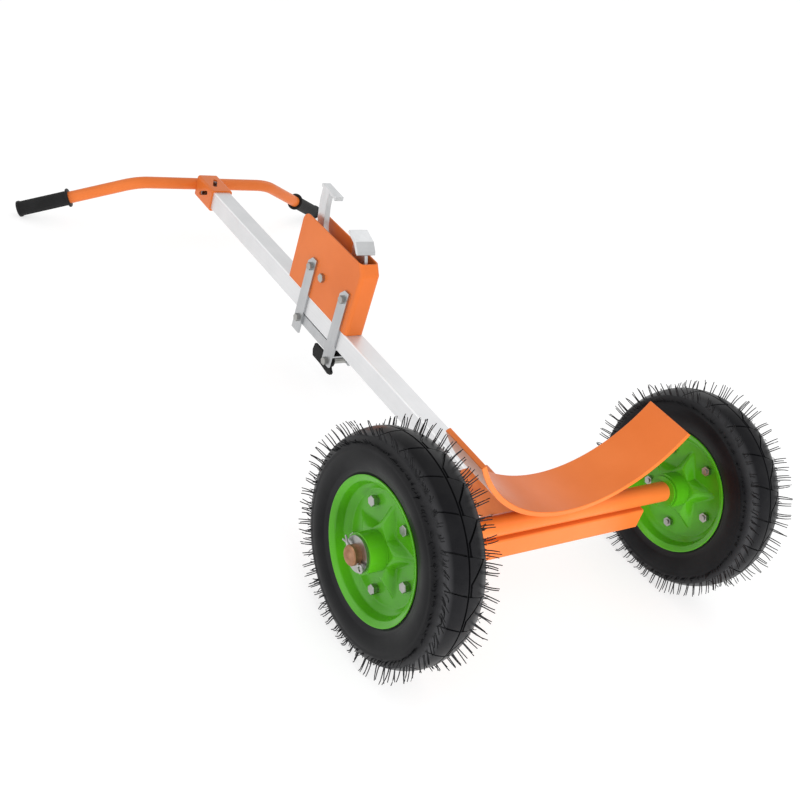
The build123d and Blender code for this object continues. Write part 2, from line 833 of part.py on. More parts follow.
# Sleeve on the main tube's top end, closed by a plate that the handlebar is welded to
with BuildPart() as handlebar_sleeve:
    with BuildSketch(across(sleeve_start)):
        with Locations((0, tube_middle)):
            RectangleRounded(sleeve_size, sleeve_size, tube_round + sleeve_wall / 2)
    extrude(amount=sleeve_length)
    with BuildSketch(across(sleeve_start)):
        with Locations((0, tube_middle)):
            hole = tube_size + 2 * sleeve_fit
            RectangleRounded(hole, hole, tube_round)
    extrude(amount=sleeve_length - sleeve_end_plate, mode=Mode.SUBTRACT)
    add(sleeve_slots.part, mode=Mode.SUBTRACT)
    with BuildSketch(side(-sleeve_size)):
        with Locations((bar_place, bar_height)):
            Circle(bar_radius)
    extrude(amount=2 * sleeve_size, mode=Mode.SUBTRACT)
keep(handlebar_sleeve, "handlebar_sleeve")


# Handlebar, bent down and back at both ends, and its grips
def bar_way(out):
    """Direction of one end of the handlebar."""
    return left * out * bar_side + along * bar_back_share - square * bar_down_share


def bar_corner(out):
    """Place where the straight middle of the handlebar and one of its ends would meet."""
    return at(bar_place, out * bar_half_straight, bar_height)


bar_length = grip_end - grip_end_wall
bar_route = [
    bar_corner(-1) + bar_way(-1) * bar_length,
    bar_corner(-1),
    bar_corner(1),
    bar_corner(1) + bar_way(1) * bar_length,
]
with BuildPart() as handlebar:
    with BuildLine() as bar_line:
        FilletPolyline(*bar_route, radius=bar_bend_radius)
    with BuildSketch(Plane(origin=bar_route[0], z_dir=bar_way(-1) * -1)):
        Circle(bar_radius)
        Circle(bar_radius - bar_wall, mode=Mode.SUBTRACT)
    sweep(path=bar_line.line)
keep(handlebar, "handlebar")


def make_grip(name, out):
    """Grip with a guard flange, a rounded rim at its end and a closed end."""
    way = bar_way(out)
    bore = bar_radius + axle_fit
    outline = [
        (0, bore),
        (0, grip_flange_radius),
        (grip_flange_width, grip_flange_radius),
        (grip_flange_width, grip_radius),
        (grip_length - grip_end_width, grip_radius),
        (grip_length - grip_end_width, grip_end_radius),
        (grip_length, grip_end_radius),
        (grip_length, 0),
        (grip_length - grip_end_wall, 0),
        (grip_length - grip_end_wall, bore),
    ]
    start = bar_corner(out) + way * grip_start
    with BuildPart() as grip:
        with BuildSketch(Plane(origin=start, x_dir=way, z_dir=way.cross(square))) as profile:
            Polygon(*outline, align=None)
            rim = profile.vertices().filter_by(lambda corner: corner.Y > grip_radius + axle_fit)
            fillet(rim, radius=grip_edge_round)
        revolve(axis=Axis(start, way))
    keep(grip, name)


for side_name, out in sides.items():
    make_grip(f"{side_name}_grip", out)

# Clamp housing: a folded sheet, open at the top and the back, with two sides and a front whose top leans back
housing_outline = [
    (housing_front, housing_bottom),
    (housing_front, housing_top - housing_lean_depth),
    (housing_front + housing_lean, housing_top),
    (housing_back, housing_top),
    (housing_back, housing_bottom),
]


def folded_block(outline, half_width, bend):
    """Block over a side outline, with the fold in its front and its front's upright edges rounded."""
    with BuildPart() as block:
        with BuildSketch(side(-half_width)) as face:
            Polygon(*outline, align=None)
            fold = face.vertices().sort_by(Axis.X)[:2].sort_by(Axis.Y)[-1]
            fillet(fold, radius=housing_lean_round)
        extrude(amount=2 * half_width)
        upright = []
        for flank in block.faces().filter_by(Axis(at(), left)):
            upright += flank.edges().sort_by(Axis(at(), along))[:3]
        fillet(upright, radius=bend)
    return block.part


cross_spots = [(front_strap_place, strap_bolt_height), (rear_strap_place, strap_bolt_height)]
hollow_outline = moved(housing_outline, housing_sheet, 0)
with BuildPart() as clamp_housing:
    add(folded_block(housing_outline, housing_half_width, housing_bend))
    hollow = folded_block(hollow_outline, housing_inside, housing_bend - housing_sheet)
    add(hollow, mode=Mode.SUBTRACT)
    top_edges = clamp_housing.edges().filter_by(Axis(at(), left)).group_by(Axis(at(), square))[-1]
    fillet(top_edges.sort_by(Axis(at(), along))[-2:], radius=housing_back_round)
    top_face = clamp_housing.faces().filter_by(Axis(at(), square)).sort_by(Axis(at(), square))[-1]
    fillet(top_face.edges().filter_by(Axis(at(), along)), radius=housing_edge_round)
    with BuildSketch(side(-housing_half_width)):
        with Locations(*cross_spots):
            Circle(bolt_radius + bolt_fit)
        with Locations(jaw_pivot):
            Circle(pivot_radius + bolt_fit)
    extrude(amount=2 * housing_half_width, mode=Mode.SUBTRACT)
keep(clamp_housing, "clamp_housing")


# Straps beside the housing and the tube
def make_strap(name, out, place, foot_height):
    """Flat strap with one corner cut off at its top and a bolt hole near each end."""
    with BuildPart() as strap:
        with BuildSketch(side(out * housing_half_width)) as face:
            with Locations((place, (strap_top + strap_bottom) / 2)):
                Rectangle(strap_width, strap_top - strap_bottom)
            top_back = face.vertices().group_by(Axis.Y)[-1].sort_by(Axis.X)[-1]
            chamfer(top_back, length=strap_chamfer)
            with Locations((place, strap_bolt_height), (place, foot_height)):
                Circle(bolt_radius + bolt_fit, mode=Mode.SUBTRACT)
        extrude(amount=out * strap_thickness)
    keep(strap, name)


for side_name, out in sides.items():
    make_strap(f"{side_name}_front_strap", out, front_strap_place, lever_pivot_height)
    make_strap(f"{side_name}_rear_strap", out, rear_strap_place, rear_foot_height)

rear_foot = (rear_strap_place, rear_foot_height)
lever_spot = (front_strap_place, lever_pivot_height)
strap_spots = cross_spots + [rear_foot]
bolt_tip = strap_face + nut_height + bolt_tail
make_bolts("strap_bolts", strap_spots, -strap_face, bolt_tip, -1)
make_nuts("strap_nuts", strap_spots, strap_face, 1)
make_bolts("lever_pivot_bolt", [lever_spot], -strap_face, bolt_tip, -1)
make_nuts("lever_pivot_nut", [lever_spot], strap_face, 1)
pivot_tip = housing_half_width + nut_height + bolt_tail
make_bolts("jaw_pivot_bolt", [jaw_pivot], -housing_half_width, pivot_tip, -1, pivot_radius, pivot_across)
make_nuts("jaw_pivot_nut", [jaw_pivot], housing_half_width, 1, pivot_radius, pivot_across)

# Spacer on the rear strap bolt and bushes beside the upper jaw
with BuildPart() as rear_spacer:
    with BuildSketch(side(-housing_inside)):
        with Locations(cross_spots[1]):
            Circle(spacer_radius)
            Circle(bolt_radius + bolt_fit, mode=Mode.SUBTRACT)
    extrude(amount=2 * housing_inside)
keep(rear_spacer, "rear_spacer")

bush_length = housing_inside - upper_jaw_thickness / 2 - jaw_side_gap
with BuildPart() as jaw_bushes:
    for out in sides.values():
        with BuildSketch(side(out * housing_inside)):
            with Locations(jaw_pivot):
                Circle(jaw_bush_radius)
                Circle(pivot_radius + bolt_fit, mode=Mode.SUBTRACT)
        extrude(amount=-out * bush_length)
keep(jaw_bushes, "jaw_bushes")

# Clamp shoe: a box section under the tube, between the straps
shoe_front = front_strap_place - shoe_margin
shoe_length = rear_strap_place + shoe_margin - shoe_front
with BuildPart() as clamp_shoe:
    with BuildSketch(across(shoe_front)):
        with Locations((0, shoe_top)):
            hang = (Align.CENTER, Align.MAX)
            Rectangle(2 * housing_half_width, shoe_depth, align=hang)
        with Locations((0, shoe_top - shoe_sheet)):
            inside = 2 * (housing_half_width - shoe_sheet)
            Rectangle(inside, shoe_depth - 2 * shoe_sheet, align=hang, mode=Mode.SUBTRACT)
    extrude(amount=shoe_length)
    with BuildSketch(side(-housing_half_width)):
        with Locations(rear_foot):
            Circle(bolt_radius + bolt_fit)
    extrude(amount=2 * housing_half_width, mode=Mode.SUBTRACT)
keep(clamp_shoe, "clamp_shoe")

# Lower jaw, held by the front strap bolt, with its foot against the housing's front
foot_face = housing_front + housing_sheet
lower_stem = [
    (foot_face, strap_bolt_height - lower_foot_drop),
    (foot_face, strap_bolt_height + lower_foot_rise),
    *moved(lower_neck, front_strap_place, housing_top),
    (front_strap_place + lower_back_reach, strap_bolt_height - lower_back_reach),
    (front_strap_place, strap_bolt_height - lower_foot_drop),
]
with BuildPart() as lower_jaw:
    with BuildSketch(side(-lower_jaw_thickness / 2)) as stem:
        Polygon(*lower_stem, align=None)
        fillet(stem.vertices(), radius=jaw_corner_round)
    extrude(amount=lower_jaw_thickness)
    with BuildSketch(side(-lower_head_width / 2)) as head:
        Polygon(*moved(lower_head, front_strap_place, housing_top), align=None)
        fillet(head.vertices(), radius=jaw_head_round)
    extrude(amount=lower_head_width)
    with BuildSketch(side(-lower_jaw_thickness)):
        with Locations(cross_spots[0]):
            Circle(bolt_radius + bolt_fit)
    extrude(amount=2 * lower_jaw_thickness, mode=Mode.SUBTRACT)
keep(lower_jaw, "lower_jaw")

# Upper jaw, an arm with a beak-like head, turning on the pivot bolt
with BuildPart() as upper_jaw:
    with BuildSketch(side(-upper_jaw_thickness / 2)):
        with BuildLine():
            rounds = [corner[2] for corner in upper_arm]
            FilletPolyline(*moved(upper_arm, *jaw_pivot), radius=rounds, close=True)
        make_face()
        with Locations(jaw_pivot):
            Circle(jaw_boss_radius)
    extrude(amount=upper_jaw_thickness)
    with BuildSketch(side(-upper_head_width / 2)) as head:
        Polygon(*moved(upper_head, *jaw_pivot), align=None)
        fillet(head.vertices(), radius=jaw_head_round)
    extrude(amount=upper_head_width)
    with BuildSketch(side(-upper_jaw_thickness)):
        with Locations(jaw_pivot):
            Circle(pivot_radius + pivot_fit)
    extrude(amount=2 * upper_jaw_thickness, mode=Mode.SUBTRACT)
keep(upper_jaw, "upper_jaw")

# Lock lever under the shoe: a plate with a cam round its pivot, a thumb block behind it and a thin tail
cam_radius = lever_pivot_drop - lever_cam_gap
lever_right = -lever_offset - lever_width / 2
lever_left = -lever_offset + lever_width / 2
with BuildPart() as lock_lever:
    with BuildSketch(side(lever_right)) as outline:
        Polygon(*moved(lever_block, *lever_spot), align=None)
        fillet(outline.vertices(), radius=lever_corner_round)
        with Locations(lever_spot):
            Circle(cam_radius)
            Circle(bolt_radius + pivot_fit, mode=Mode.SUBTRACT)
    extrude(amount=lever_width)
keep(lock_lever, "lock_lever")

# Spacers on the lever's bolt, one on each side of the lever
with BuildPart() as lever_spacers:
    for face, end in ((-housing_half_width, lever_right - lever_side_gap),
                      (housing_half_width, lever_left + lever_side_gap)):
        with BuildSketch(side(face)):
            with Locations(lever_spot):
                Circle(spacer_radius)
                Circle(bolt_radius + bolt_fit, mode=Mode.SUBTRACT)
        extrude(amount=end - face)
keep(lever_spacers, "lever_spacers")
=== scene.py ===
import json
import random
from math import cos, pi, radians, sin, sqrt, tau

import bmesh
import bpy
from mathutils import Matrix, Vector


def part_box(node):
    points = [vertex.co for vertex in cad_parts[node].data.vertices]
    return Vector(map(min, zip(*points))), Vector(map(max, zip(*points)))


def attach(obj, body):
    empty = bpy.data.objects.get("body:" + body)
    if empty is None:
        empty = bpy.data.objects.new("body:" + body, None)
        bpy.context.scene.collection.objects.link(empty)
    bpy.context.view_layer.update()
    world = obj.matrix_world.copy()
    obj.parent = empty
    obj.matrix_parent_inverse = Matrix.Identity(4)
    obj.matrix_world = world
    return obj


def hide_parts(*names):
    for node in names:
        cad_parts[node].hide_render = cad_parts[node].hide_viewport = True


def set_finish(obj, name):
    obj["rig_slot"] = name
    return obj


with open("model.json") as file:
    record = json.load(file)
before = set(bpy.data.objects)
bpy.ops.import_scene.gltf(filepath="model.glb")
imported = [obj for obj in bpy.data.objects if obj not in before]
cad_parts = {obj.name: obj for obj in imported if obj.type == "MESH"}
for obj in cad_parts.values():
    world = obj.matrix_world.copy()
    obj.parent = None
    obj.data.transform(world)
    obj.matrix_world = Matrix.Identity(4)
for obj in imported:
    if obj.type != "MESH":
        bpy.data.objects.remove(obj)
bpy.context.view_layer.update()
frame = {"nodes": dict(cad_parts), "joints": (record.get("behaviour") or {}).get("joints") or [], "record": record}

# Drum trolley: its detailed pieces, its finishes, the studio and the camera, in metres.
# Places on it are (p, y, n): p along the main tube from the axle towards the handlebar,
# y to the operator's left and n square to the tube, towards the drum.
random.seed(7)

joints = {joint["name"]: joint for joint in frame["joints"]}
along = Vector(joints["clamp_slide"]["axis"])
left = Vector((0, 1, 0))
square = left.cross(along)
wheel_middles = {side: Vector(joints[f"{side}_wheel_spin"]["pos_m"]) for side in ("right", "left")}
axle_middle = (wheel_middles["right"] + wheel_middles["left"]) / 2
outward = {"right": -left, "left": left}

# Camera: its place and its axes on the trolley, as (n, y, p), its lens and sensor in millimetres,
# and how far it sees
camera_place = (1.11415, -1.36634, -1.01779)
camera_right = (0.26977, 0.81270, -0.51647)
camera_up = (0.81770, 0.08989, 0.56858)
camera_lens = 48.92
camera_sensor = 36
camera_reach = 200

# Studio: lights by their places from the point that they face, their sizes, their powers in watts,
# and whether they show in glossy faces
floor_half_size = 60
floor_tones = (0.39, 0.41)
floor_roughness = 0.9
floor_shine = 0.1
floor_glow = 0.68
sky_strength = 0.80
lights_aim = 0.5
studio_lights = {
    "key_light": ((3.0, -0.5, 0.15), 1.6, 95, False),
    "rim_light": ((-1.5, 2.0, 1.65), 1.5, 7, True),
    "side_light": ((-0.6, -2.8, 0.8), 2.0, 13, True),
}

# Edges sharper than these angles, in degrees, stay sharp
hair_sharp_angle = 35
tyre_sharp_angle = 40
grip_sharp_angle = 40
rim_sharp_angle = 50

# Tyres: the solid tyre's sizes
tread_half = 0.042
tread_drop = 0.012
tread_thickness = 0.014
shoulder_thickness = 0.0105
sidewall_thickness = 0.008
bulge_share = 0.52
bead_gap = 0.0003
bead_half = 0.0402
bead_radius = 0.1195
bead_width = 0.015

# Tyres: points along the arcs of the detailed tyre's section, and its sidewall ribs
wall_points = 25
cavity_wall_points = 6
cavity_crown_points = 7
rib_rows = (5, 6, 20, 21)
rib_height = 0.0009

# Tread: offsets from the tyre's middle, and places along one pitch as shares of it.
# Groove floors are shares of the groove's width.
tread_pitches = 20
tread_phase = 0.117
tread_edge = 0.0405
land_steps = 4
groove_floor = (0.25, 0.75)
middle_groove_half_width = 0.0016
middle_groove_floor = 0.7
middle_groove_depth = 0.0032
hook_far, hook_near = 0.034, 0.0047
hook_bend, hook_heel = 0.53, 0.85
hook_corners = ((0, hook_far), (hook_bend, hook_near), (hook_heel, hook_near), (1, hook_far))
hook_half_width = 0.0019
hook_depth = 0.0036
return_half_width = 0.0006
return_depth = 0.0012
slope_step = 0.02
slant_far, slant_near = 0.040, 0.002
slant_start, slant_end = 0.595, 0.817
slant_half_width = 0.0014
slant_depth = 0.0034
row_gap = 0.0004
stroke_columns = [0, 0.03, 0.12, 0.21, 0.30, 0.39, 0.47, 0.505]
foot_columns = [hook_bend, 0.555, 0.66, 0.70, 0.75]
return_columns = [hook_heel, 0.875, 0.92, 0.97]

# Moulding hairs: pairs are the least and the most of what varies. Leans are in degrees, spacings
# in radians round the axle, group shifts in shares of the way from group to group, and swings
# and curls in shares of a hair's length.
hair_groups = 68
hair_group_shift = (-0.2, 0.2)
hair_counts = (2, 2, 2, 3)
hair_spacing = (0.017, 0.023)
hair_offset = (0.037, 0.041)
hair_sink = 0.001
hair_length = 0.0255
hair_length_share = (0.82, 1.08)
hair_lean = (16, 28)
hair_group_swing = (-0.14, 0.14)
hair_swing = (-0.05, 0.05)
hair_curl = (-0.1, 0.2)
hair_radius = 0.0012
hair_taper = 0.35
hair_sides = 5
hair_steps = 7
hair_floor_gap = 0.0008
short_hair_count = 3
short_hair_offset = 0.0475
short_hair_root = 0.179
short_hair_length_share = (0.22, 0.45)
short_hair_lean = (25, 75)
short_hair_swing = (-0.6, 0.6)
short_hair_radius = 0.0009

# Rims: places on a rim half's section are (offset from the wheel's middle, radius).
# The star's foot and top are (radius at its points, radius between them).
rim_columns = 200
rim_points = 5
rim_bolt_angle = 45.2
hub_radius = 0.03505
web_face, web_back = 0.014, 0.010
web_rows = 31
web_row_step = 0.00175
web_edge = (web_face, 0.088)
web_margin, web_edge_margin = 0.001, 0.0001
flange_face, flange_back = 0.0445, 0.0405
rim_dish = [(web_face, 0.0990), (0.0185, 0.1045), (0.0225, 0.1105), (0.0396, 0.1147), (flange_face, 0.1245)]
rim_seat = [(flange_back, 0.119), (0.026, 0.119), (0.018, 0.110), (web_back, 0.110)]
rim_corner = 0.0022
star_height = 0.018
star_foot = (0.084, 0.041)
star_top = (0.047, 0.037)
star_softness = 0.06
star_easing = 0.3

# Rounded outlines: steps round a corner, and the least ratio of a side to the rounding's reach along it
corner_steps = 4
corner_room = 2.2

# Handlebar ends and their grips
bar_place = 1.569
bar_height = -0.092
bar_half_straight = 0.197
bar_bend = 35
bar_droop = 50
bar_radius = 0.016
grip_start = 0.187
grip_length = 0.142
grip_radius = 0.0195
grip_guard_radius = 0.025
grip_guard_length = 0.006
grip_body_start = 0.0085
grip_body_step = 0.0125
grip_body_rows = 10
grip_end_radius = 0.0215
grip_end_length = 0.008
grip_end_wall = 0.006
grip_dimple_mouth = 0.012
grip_dimple_radius = 0.0105
grip_dimple_depth = 0.0015
grip_pole_radius = 0.0002
grip_corner = 0.0022
grip_flutes = 28
flute_columns = 4
flute_depth = 0.0008
flute_end = 0.1225
flute_match = 1e-5

# Painted highlights added to a finish, as (position, colour): on a tyre by the share of its half width,
# and on the main tube by how far a face looks sideways
no_tone = (0, 0, 0)
# Painted highlight: a paler band along each shoulder of a tyre, standing in for the sheen of light on it
shoulder_highlight_tone = (0.026, 0.026, 0.027)
shoulder_highlight_stops = [(0.5, no_tone), (0.68, shoulder_highlight_tone), (0.78, shoulder_highlight_tone), (0.92, no_tone)]
# Painted highlight: a paler tone on the main tube's rounded corners, where a face looks partly sideways
corner_highlight_tone = (0.25, 0.25, 0.25)
corner_highlight_stops = [(0.1, no_tone), (0.3, corner_highlight_tone), (0.85, corner_highlight_tone), (0.97, no_tone)]

# Turn of the streaks on the main tube, close to the tube's pitch
tube_turn = (0, -along.z, 0)


# Places
def at(p=0, y=0, n=0):
    """A place on the trolley."""
    return axle_middle + along * p + left * y + square * n


def on_axes(amounts):
    """A direction given as (n, y, p)."""
    n, y, p = amounts
    return square * n + left * y + along * p


def on_wheel(side, offset, radius, turn):
    """A place on a wheel: offset outwards from its middle plane, and a radius at a turn round the axle."""
    away = along * cos(turn) + square * sin(turn)
    return wheel_middles[side] + outward[side] * offset + away * radius


# Meshes
def finish_mesh(name, points, faces, body, slot, sharp_angle):
    """An object from points and faces, smooth but for its sharp edges, that rides on a body."""
    mesh = bpy.data.meshes.new(name)
    mesh.from_pydata(points, [], faces)
    form = bmesh.new()
    form.from_mesh(mesh)
    bmesh.ops.recalc_face_normals(form, faces=form.faces)
    form.to_mesh(mesh)
    form.free()
    mesh.shade_smooth()
    mesh.set_sharp_from_angle(angle=radians(sharp_angle))
    piece = bpy.data.objects.new(name, mesh)
    bpy.context.scene.collection.objects.link(piece)
    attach(piece, body)
    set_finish(piece, slot)
    return piece


def ring_faces(rows, columns):
    """Faces of a closed ring: rows go round its section, columns round its axis."""
    faces = []
    for row in range(rows):
        below = (row + 1) % rows
        for column in range(columns):
            beside = (column + 1) % columns
            faces.append((row * columns + column, row * columns + beside,
                          below * columns + beside, below * columns + column))
    return faces


def arc_through(start, middle, end, count):
    """Points on the circle through three points, from start to end."""
    (ax, ay), (bx, by), (cx, cy) = start, middle, end
    scale = 2 * (ax * (by - cy) + bx * (cy - ay) + cx * (ay - by))
    a, b, c = ax * ax + ay * ay, bx * bx + by * by, cx * cx + cy * cy
    centre = Vector(((a * (by - cy) + b * (cy - ay) + c * (ay - by)) / scale,
                     (a * (cx - bx) + b * (ax - cx) + c * (bx - ax)) / scale))
    first = Vector(start) - centre
    whole_turn = first.angle_signed(Vector(end) - centre)
    points = []
    for step in range(count):
        turn = -whole_turn * step / (count - 1)
        points.append(centre + Vector((first.x * cos(turn) - first.y * sin(turn),
                                       first.x * sin(turn) + first.y * cos(turn))))
    return points


def rounded(corners, radius):
    """A closed outline with its corners rounded."""
    outline = []
    count = len(corners)
    for index in range(count):
        before, corner, after = (Vector(corners[(index + shift) % count]) for shift in (-1, 0, 1))
        reach = min(radius, (before - corner).length / corner_room, (after - corner).length / corner_room)
        start = corner + (before - corner).normalized() * reach
        end = corner + (after - corner).normalized() * reach
        for step in range(corner_steps + 1):
            share = step / corner_steps
            outline.append(start * (1 - share) ** 2 + corner * 2 * share * (1 - share) + end * share**2)
    return outline


# Tyres: sizes that the frame gives, and what follows from them
tyre_low, tyre_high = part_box("right_tyre")
tyre_radius = (tyre_high.z - tyre_low.z) / 2
tyre_half = (tyre_high.y - tyre_low.y) / 2
rim_low, rim_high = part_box("right_rim_outer_half")
rim_radius = (rim_high.z - rim_low.z) / 2
crown_radius = (tread_half**2 + tread_drop**2) / (2 * tread_drop)
tread_edge_radius = tyre_radius - tread_drop
wall_foot = rim_radius + bead_gap
bulge_radius = wall_foot + bulge_share * (tread_edge_radius - wall_foot)
pitch_length = tau * tyre_radius / tread_pitches

# The slanted groove: its run along the axle per pitch, its half width that way,
# and the shares of a pitch where it runs out at both ends
slant_run = (slant_far - slant_near) / (slant_end - slant_start)
slant_reach = slant_half_width * sqrt(1 + (slant_run / pitch_length) ** 2)
slant_low, slant_high = middle_groove_half_width + row_gap, tread_edge - row_gap
slant_cuts = (slant_high + slant_reach, slant_high - slant_reach,
              slant_low + slant_reach, slant_low - slant_reach)
slant_columns = [slant_end - (offset - slant_near) / slant_run for offset in slant_cuts]
tread_columns = sorted(stroke_columns + foot_columns + slant_columns + return_columns)


def crown(offset):
    """Radius of the tread's crown at an offset from the tyre's middle."""
    return tyre_radius - crown_radius + sqrt(crown_radius**2 - offset**2)


def hook(share):
    """Offset of the hook groove: a stroke inwards, a foot beside the middle groove and a way back."""
    share %= 1
    for (start, low), (end, high) in zip(hook_corners, hook_corners[1:]):
        if share <= end:
            return low + (high - low) * (share - start) / (end - start)


def half_tread(near, far, depth):
    """Offsets and depths across half a tread, from its middle out, with a groove from near to far."""
    start = middle_groove_half_width
    inner = [(start + (near - start) * step / land_steps, 0) for step in range(land_steps + 1)]
    bed = [(near + (far - near) * share, depth) for share in groove_floor]
    outer = [(far + (tread_edge - far) * step / land_steps, 0) for step in range(land_steps + 1)]
    return [(start * middle_groove_floor, middle_groove_depth)] + inner + bed + outer + [(tread_half, 0)]


def hooked_half(share):
    """The half of the tread with the bold hooks, at a share of a pitch."""
    place = hook(share)
    steps = (slope_step, -slope_step)
    slopes = [(hook(share + step) - place) / (slope_step * pitch_length) for step in steps]
    returns = share > hook_heel
    reach = return_half_width if returns else hook_half_width
    reach *= sum(sqrt(1 + slope**2) for slope in slopes) / len(slopes)
    return half_tread(place - reach, place + reach, return_depth if returns else hook_depth)


def slanted_half(share):
    """The half of the tread with one slanted groove, at a share of a pitch."""
    first, last = slant_columns[0], slant_columns[-1]
    if first <= share <= last:
        groove = slant_near + (slant_end - share) * slant_run
        near = min(max(groove - slant_reach, slant_low), slant_high - row_gap)
        far = max(min(groove + slant_reach, slant_high), near + row_gap)
        return half_tread(near, far, slant_depth * min(1, (far - near) / slant_reach))
    way = (share - last) % 1 / (1 - last + first)
    near = slant_low + (slant_high - row_gap - slant_low) * way
    return half_tread(near, near + row_gap, 0)


def sidewall_rows():
    """Offsets and radii down one sidewall, from below the tread's edge to the bead."""
    edge, bulge, foot = (tread_half, tread_edge_radius), (tyre_half, bulge_radius), (bead_half, wall_foot)
    rows = []
    for index, point in enumerate(arc_through(edge, bulge, foot, wall_points)[1:]):
        rows.append((point.x + (rib_height if index in rib_rows else 0), point.y))
    return rows + [(bead_half, bead_radius)]


def cavity_rows():
    """Offsets and radii up one side of the tyre's cavity, from the bead to the middle of its crown."""
    inner = bead_half - bead_width
    bulge = (tyre_half - sidewall_thickness, bulge_radius)
    edge = Vector((tread_half - sidewall_thickness, tread_edge_radius - shoulder_thickness))
    wall = arc_through((inner, wall_foot), bulge, edge, cavity_wall_points)
    roof = arc_through(edge, (0, tyre_radius - tread_thickness), (-edge.x, edge.y), cavity_crown_points)
    half_roof = roof[1:cavity_crown_points // 2 + 1]
    return [(inner, bead_radius)] + [(point.x, point.y) for point in wall + half_roof]


def mirrored(rows):
    """Rows of a section on the other side of the tyre's middle."""
    return [(-offset, radius) for offset, radius in rows]


def make_tyre(side):
    """Tyre with a middle groove, bold hooks in its left half and slanted grooves in its right half."""
    walls, cavity = sidewall_rows(), cavity_rows()
    facing = outward[side].dot(left)
    columns = []
    for pitch in range(tread_pitches):
        for share in tread_columns:
            hooks = [(offset, crown(offset) - depth) for offset, depth in hooked_half(share)]
            slants = [(offset, crown(offset) - depth) for offset, depth in slanted_half(share)]
            section = walls[::-1] + hooks[::-1] + mirrored(slants) + mirrored(walls)
            section += mirrored(cavity[:-1]) + cavity[::-1]
            turn = (pitch + share + tread_phase) * tau / tread_pitches
            columns.append([on_wheel(side, facing * offset, radius, turn) for offset, radius in section])
    row_count = len(columns[0])
    points = [column[row] for row in range(row_count) for column in columns]
    tyre = finish_mesh(f"{side}_tyre_detailed", points, ring_faces(row_count, len(columns)),
                       f"{side}_wheel", "tyre_rubber", tyre_sharp_angle)
    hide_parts(f"{side}_tyre")
    return tyre


# Moulding hairs
def add_strand(points, faces, line, radius):
    """A tapered hair along a line."""
    start = len(points)
    for step, place in enumerate(line):
        way = (line[min(step + 1, len(line) - 1)] - line[max(step - 1, 0)]).normalized()
        across = way.orthogonal().normalized()
        beside = way.cross(across)
        reach = radius * (1 - hair_taper * step / (len(line) - 1))
        for corner in range(hair_sides):
            turn = tau * corner / hair_sides
            points.append(place + (across * cos(turn) + beside * sin(turn)) * reach)
    for step in range(len(line) - 1):
        for corner in range(hair_sides):
            beside = (corner + 1) % hair_sides
            low, high = start + step * hair_sides, start + (step + 1) * hair_sides
            faces.append((low + corner, low + beside, high + beside, high + corner))
    faces.append(tuple(range(start, start + hair_sides)))
    faces.append(tuple(range(len(points) - hair_sides, len(points))))


def hair_line(side, facing, turn, offset, radius, length, lean, swing, curl):
    """A curved line for one hair: it leans outwards, and its end swings round the tyre and curls."""
    away = along * cos(turn) + square * sin(turn)
    round_tyre = along * -sin(turn) + square * cos(turn)
    out = outward[side] * facing
    root = on_wheel(side, facing * offset, radius, turn)
    line = []
    for step in range(hair_steps):
        share = step / (hair_steps - 1)
        reach = length * share
        place = root + (away * cos(lean) + out * sin(lean)) * reach
        place += round_tyre * swing * share**2 * length + out * curl * share**3 * length
        place.z = max(place.z, hair_radius + hair_floor_gap)
        line.append(place)
    return line


def long_hair(side, facing, middle, strand, group_swing):
    """Line of one hair in a group on the tyre's shoulder."""
    turn = middle + strand * random.uniform(*hair_spacing)
    offset = random.uniform(*hair_offset)
    length = hair_length * random.uniform(*hair_length_share)
    lean = radians(random.uniform(*hair_lean))
    swing = group_swing + random.uniform(*hair_swing)
    curl = random.uniform(*hair_curl)
    return hair_line(side, facing, turn, offset, crown(offset) - hair_sink, length, lean, swing, curl)


def short_hair(side, facing, middle):
    """Line of one short hair below the tyre's shoulder."""
    turn = middle + random.uniform(0, tau / hair_groups)
    length = hair_length * random.uniform(*short_hair_length_share)
    lean = radians(random.uniform(*short_hair_lean))
    swing = random.uniform(*short_hair_swing)
    return hair_line(side, facing, turn, short_hair_offset, short_hair_root, length, lean, swing, curl=0)


def make_hairs(side):
    """Bands of curved moulding hairs on both shoulders of a tyre, in small groups, with short ones below."""
    points, faces = [], []
    for facing in (1, -1):
        for group in range(hair_groups):
            middle = tau * (group + random.uniform(*hair_group_shift)) / hair_groups
            group_swing = random.uniform(*hair_group_swing)
            for strand in range(random.choice(hair_counts)):
                add_strand(points, faces, long_hair(side, facing, middle, strand, group_swing), hair_radius)
            for strand in range(short_hair_count):
                add_strand(points, faces, short_hair(side, facing, middle), short_hair_radius)
    hairs = finish_mesh(f"{side}_tyre_hairs_curved", points, faces,
                        f"{side}_wheel", "tyre_rubber", hair_sharp_angle)
    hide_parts(f"{side}_tyre_hairs")
    return hairs


# Rims
def star_edge(tip_radius, valley_radius, turn):
    """Radius of a straight-sided star's edge at a turn from one of its points."""
    half = pi / rim_points
    turn = half - abs(half - turn % (2 * half))
    turn = sqrt(turn**2 + star_softness**2) - star_softness
    weight = tip_radius * sin(turn) + valley_radius * sin(half - turn)
    return tip_radius * valley_radius * sin(half) / weight


def star_rise(radius, turn):
    """Height of the pressed star: creased arms that fall from the hub to their points."""
    foot, top = star_edge(*star_foot, turn), star_edge(*star_top, turn)
    share = max(0.0, min(1.0, (foot - radius) / (foot - top)))
    eased = share * share * (3 - 2 * share)
    return star_height * ((1 - star_easing) * share + star_easing * eased)


